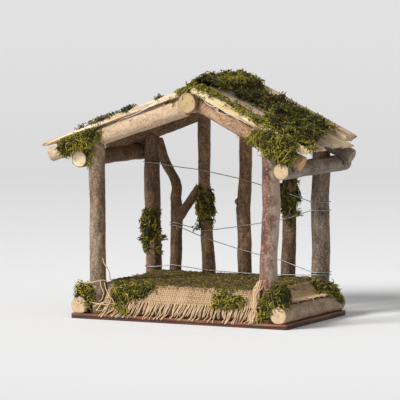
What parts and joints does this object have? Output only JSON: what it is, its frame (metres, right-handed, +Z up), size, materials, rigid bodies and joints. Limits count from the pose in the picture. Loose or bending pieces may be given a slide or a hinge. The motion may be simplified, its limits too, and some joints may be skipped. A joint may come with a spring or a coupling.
{
  "type": "nativity stable",
  "caption": "Open-front rustic stable of bark logs, with a split-slat gable roof, moss, burlap ground and a wired branch fence, on a flat board; small figures stand inside.",
  "frame": {"origin": "on the table, in the middle of the base board's underside", "axes": "+Z up, +X to the right, -Y towards the open front"},
  "size_m": [0.3327, 0.1779, 0.2745],
  "materials": {
    "stained_board": "stained hardboard, satin",
    "bark_wood": "natural bark with sawn ends",
    "split_wood": "split and peeled, unfinished",
    "foam_core": "foam",
    "burlap": "open plain weave",
    "moss": "dry moss strands",
    "wire": "dull drawn wire",
    "steel_fastener": "plain steel"
  },
  "bodies": {
    "root": {"base_board_lower": "stained_board", "base_board_upper": "stained_board", "base_moss_front_left": "moss", "base_moss_front_middle": "moss", "base_moss_left": "moss", "base_moss_rear_right": "moss", "base_moss_right": "moss", "base_screws": "steel_fastener", "burlap_cover": "burlap", "eave_beam_left": "bark_wood", "eave_beam_right": "bark_wood", "fence_branch_forked": "bark_wood", "fence_branch_left": "bark_wood", "fence_branch_middle": "bark_wood", "fence_branch_right": "bark_wood", "fence_moss_left": "moss", "fence_moss_right": "moss", "frame_nails": "steel_fastener", "ground_core": "foam_core", "moss_mat": "moss", "post_front_left": "bark_wood", "post_front_right": "bark_wood", "post_moss_rear_left": "moss", "post_rear_left": "bark_wood", "post_rear_right": "bark_wood", "purlin_left_lower": "bark_wood", "purlin_left_upper": "bark_wood", "purlin_right_lower": "bark_wood", "purlin_right_upper": "bark_wood", "rafter_front_left": "bark_wood", "rafter_front_right": "bark_wood", "rafter_rear_left": "bark_wood", "rafter_rear_right": "bark_wood", "ridge_pole": "bark_wood", "roof_moss_left_eave": "moss", "roof_moss_ridge": "moss", "roof_moss_right": "moss", "roof_moss_right_eave": "moss", "sill_log_front": "bark_wood", "sill_log_left": "bark_wood", "sill_log_right": "bark_wood", "slat_brads": "steel_fastener", "slat_left_1_lower": "split_wood", "slat_left_1_upper": "split_wood", "slat_left_2": "split_wood", "slat_left_3": "split_wood", "slat_left_4": "split_wood", "slat_left_5": "split_wood", "slat_left_6": "split_wood", "slat_right_1": "split_wood", "slat_right_2": "split_wood", "slat_right_3": "split_wood", "slat_right_4": "split_wood", "slat_right_5": "split_wood", "slat_right_6": "split_wood", "slat_right_7": "split_wood", "wire_cross": "wire", "wire_low": "wire", "wire_middle": "wire", "wire_top": "wire"}
  },
  "joints": []
}
